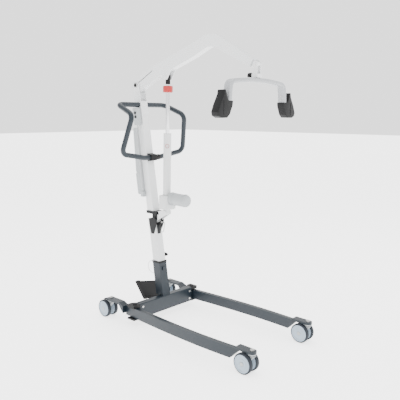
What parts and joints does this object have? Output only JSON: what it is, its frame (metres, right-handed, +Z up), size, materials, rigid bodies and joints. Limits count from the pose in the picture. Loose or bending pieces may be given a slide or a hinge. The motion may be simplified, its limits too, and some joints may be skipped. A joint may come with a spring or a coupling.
{
  "type": "patient lift hoist",
  "caption": "Mobile patient lift: spreading low legs on twin casters, folding mast, powered boom and swivelling sling spreader bar.",
  "frame": {"origin": "on the floor at the centre of the bounding box", "axes": "+Z up, -Y towards the front casters under the spreader, +X to the right as seen from behind"},
  "size_m": [0.5972, 1.1229, 1.5557],
  "materials": {
    "white_paint": "gloss",
    "slate_paint": "satin",
    "light_paint": "satin",
    "black_casting": "satin",
    "black_plastic": "matte",
    "grey_plastic": "matte",
    "light_plastic": "satin",
    "hub_plastic": "satin",
    "tyre_rubber": "matte",
    "chrome": "polished",
    "zinc": "satin",
    "red_plastic": "gloss",
    "cord_grey": "satin"
  },
  "bodies": {
    "base": {"cross_beam": "slate_paint", "pivot_brackets": "black_casting", "pivot_pins": "black_casting", "pedal_shaft": "zinc", "mast_socket": "slate_paint", "socket_cap": "black_plastic", "lower_mast": "white_paint", "lower_fold_joint": "black_casting", "fold_pin": "black_casting"},
    "left_leg": {"left_leg": "slate_paint", "left_caster_arms": "slate_paint", "left_stem_nuts": "zinc"},
    "left_rod": {"left_spread_rod": "zinc"},
    "right_leg": {"right_leg": "slate_paint", "right_caster_arms": "slate_paint", "right_stem_nuts": "zinc"},
    "right_rod": {"right_spread_rod": "zinc"},
    "pedal": {"spread_pedal": "black_plastic"},
    "front_left_caster": {"front_left_fork": "grey_plastic"},
    "front_left_wheels": {"front_left_hubs": "hub_plastic", "front_left_tyres": "tyre_rubber"},
    "front_right_caster": {"front_right_fork": "grey_plastic"},
    "front_right_wheels": {"front_right_hubs": "hub_plastic", "front_right_tyres": "tyre_rubber"},
    "rear_left_caster": {"rear_left_fork": "grey_plastic"},
    "rear_left_wheels": {"rear_left_hubs": "hub_plastic", "rear_left_tyres": "tyre_rubber"},
    "rear_left_brake": {"rear_left_brake_pedal": "black_plastic"},
    "rear_right_caster": {"rear_right_fork": "grey_plastic"},
    "rear_right_wheels": {"rear_right_hubs": "hub_plastic", "rear_right_tyres": "tyre_rubber"},
    "rear_right_brake": {"rear_right_brake_pedal": "black_plastic"},
    "lock_knob": {"lock_knob": "black_plastic"},
    "latch_lever": {"latch_lever": "zinc"},
    "upper_mast": {"upper_fold_joint": "black_casting", "upper_mast": "white_paint", "boom_pivot_pin": "zinc", "push_handle": "slate_paint", "handle_clamp": "black_plastic", "actuator_bracket": "white_paint", "control_box": "grey_plastic", "handset": "grey_plastic", "curly_cord": "cord_grey"},
    "boom": {"boom": "white_paint", "boom_end_cap": "light_plastic", "boom_bracket": "white_paint"},
    "actuator": {"actuator_housing": "light_plastic", "actuator_motor": "grey_plastic", "actuator_tube": "light_plastic"},
    "lift_rod": {"actuator_rod": "chrome", "rod_end": "black_plastic"},
    "lowering_ring": {"lowering_ring": "red_plastic"},
    "hanger": {"hanger_yoke": "white_paint"},
    "release_knob": {"quick_release_knob": "black_plastic"},
    "spreader": {"spreader_bar": "light_paint", "hook_boots": "black_plastic"},
    "battery": {"battery_pack": "grey_plastic"},
    "emergency_stop": {"emergency_stop": "red_plastic"},
    "up_button": {"up_button": "black_plastic"},
    "down_button": {"down_button": "black_plastic"}
  },
  "joints": [
    {"name": "left_leg_spread", "type": "hinge", "parent": "base", "child": "left_leg", "pos_m": [-0.226, 0.2805, 0.0745], "axis": [0, 0, -1], "range_deg": [0, 12]},
    {"name": "right_leg_spread", "type": "hinge", "parent": "base", "child": "right_leg", "pos_m": [0.226, 0.2805, 0.0745], "axis": [0, 0, 1], "range_deg": [0, 12]},
    {"name": "left_rod_pivot", "type": "hinge", "parent": "left_leg", "child": "left_rod", "pos_m": [-0.2, 0.3225, 0.053], "axis": [0, 0, 1], "range_deg": [0, 12]},
    {"name": "right_rod_pivot", "type": "hinge", "parent": "right_leg", "child": "right_rod", "pos_m": [0.2, 0.3225, 0.097], "axis": [0, 0, -1], "range_deg": [0, 12]},
    {"name": "pedal_rock", "type": "hinge", "parent": "base", "child": "pedal", "pos_m": [0, 0.3295, 0.075], "axis": [0, -1, 0], "range_deg": [0, 22.9]},
    {"name": "front_left_swivel", "type": "hinge", "parent": "left_leg", "child": "front_left_caster", "pos_m": [-0.235, -0.5405, 0.1], "axis": [0, 0, 1], "continuous": true},
    {"name": "front_left_spin", "type": "hinge", "parent": "front_left_caster", "child": "front_left_wheels", "pos_m": [-0.235, -0.5085, 0.05], "axis": [1, 0, 0], "continuous": true},
    {"name": "front_right_swivel", "type": "hinge", "parent": "right_leg", "child": "front_right_caster", "pos_m": [0.235, -0.5405, 0.1], "axis": [0, 0, 1], "continuous": true},
    {"name": "front_right_spin", "type": "hinge", "parent": "front_right_caster", "child": "front_right_wheels", "pos_m": [0.235, -0.5085, 0.05], "axis": [1, 0, 0], "continuous": true},
    {"name": "rear_left_swivel", "type": "hinge", "parent": "left_leg", "child": "rear_left_caster", "pos_m": [-0.235, 0.4795, 0.1], "axis": [0, 0, 1], "continuous": true},
    {"name": "rear_left_spin", "type": "hinge", "parent": "rear_left_caster", "child": "rear_left_wheels", "pos_m": [-0.235, 0.5115, 0.05], "axis": [1, 0, 0], "continuous": true},
    {"name": "rear_left_brake", "type": "hinge", "parent": "rear_left_caster", "child": "rear_left_brake", "pos_m": [-0.235, 0.5215, 0.086], "axis": [-1, 0, 0], "range_deg": [0, 12]},
    {"name": "rear_right_swivel", "type": "hinge", "parent": "right_leg", "child": "rear_right_caster", "pos_m": [0.235, 0.4795, 0.1], "axis": [0, 0, 1], "continuous": true},
    {"name": "rear_right_spin", "type": "hinge", "parent": "rear_right_caster", "child": "rear_right_wheels", "pos_m": [0.235, 0.5115, 0.05], "axis": [1, 0, 0], "continuous": true},
    {"name": "rear_right_brake", "type": "hinge", "parent": "rear_right_caster", "child": "rear_right_brake", "pos_m": [0.235, 0.5215, 0.086], "axis": [-1, 0, 0], "range_deg": [0, 12]},
    {"name": "lock_knob_turn", "type": "hinge", "parent": "base", "child": "lock_knob", "pos_m": [0.025, 0.32094, 0.35], "axis": [1, 0, 0], "continuous": true},
    {"name": "latch_lift", "type": "hinge", "parent": "base", "child": "latch_lever", "pos_m": [0, 0.30521, 0.55], "axis": [1, 0, 0], "range_deg": [-12, 0], "stiffness_Nm_per_rad": 0.5},
    {"name": "mast_fold", "type": "hinge", "parent": "base", "child": "upper_mast", "pos_m": [0, 0.32721, 0.572], "axis": [1, 0, 0], "range_deg": [0, 65]},
    {"name": "boom_lift", "type": "hinge", "parent": "upper_mast", "child": "boom", "pos_m": [0, 0.48154, 1.326], "axis": [-1, 0, 0], "range_deg": [-58, 7]},
    {"name": "actuator_tilt", "type": "hinge", "parent": "upper_mast", "child": "actuator", "pos_m": [0, 0.25921, 0.612], "axis": [-1, 0, 0], "range_deg": [-0.95, 7.6]},
    {"name": "rod_slide", "type": "slide", "parent": "actuator", "child": "lift_rod", "axis": [0, -0.0222, 0.9998], "range_m": [-0.2205, 0.0275]},
    {"name": "ring_pull", "type": "slide", "parent": "lift_rod", "child": "lowering_ring", "axis": [0, -0.0222, 0.9998], "range_m": [0, 0.006], "stiffness_N_per_m": 1500},
    {"name": "hanger_swing", "type": "hinge", "parent": "boom", "child": "hanger", "pos_m": [0, -0.35946, 1.396], "axis": [1, 0, 0], "range_deg": [-65, 8]},
    {"name": "knob_pull", "type": "slide", "parent": "hanger", "child": "release_knob", "axis": [0, 1, 0], "range_m": [0, 0.006], "stiffness_N_per_m": 800},
    {"name": "spreader_swivel", "type": "hinge", "parent": "hanger", "child": "spreader", "pos_m": [0, -0.35946, 1.33], "axis": [0, 0, 1], "continuous": true},
    {"name": "battery_lift_off", "type": "slide", "parent": "upper_mast", "child": "battery", "axis": [0, 0.1564, 0.9877], "range_m": [0, 0.08]},
    {"name": "stop_press", "type": "slide", "parent": "upper_mast", "child": "emergency_stop", "axis": [0, -1, 0], "range_m": [0, 0.003]},
    {"name": "up_press", "type": "slide", "parent": "upper_mast", "child": "up_button", "axis": [1, 0, 0], "range_m": [0, 0.002], "stiffness_N_per_m": 1000},
    {"name": "down_press", "type": "slide", "parent": "upper_mast", "child": "down_button", "axis": [1, 0, 0], "range_m": [0, 0.002], "stiffness_N_per_m": 1000}
  ],
  "couplings": [
    {"joint": "right_leg_spread", "follows": "left_leg_spread", "ratio": 1},
    {"joint": "left_rod_pivot", "follows": "left_leg_spread", "ratio": 1},
    {"joint": "right_rod_pivot", "follows": "left_leg_spread", "ratio": 1},
    {"joint": "pedal_rock", "follows": "left_leg_spread", "ratio": 1.908},
    {"joint": "actuator_tilt", "follows": "boom_lift", "ratio": -0.13},
    {"joint": "rod_slide", "follows": "boom_lift", "m_per_rad": 0.2156}
  ]
}
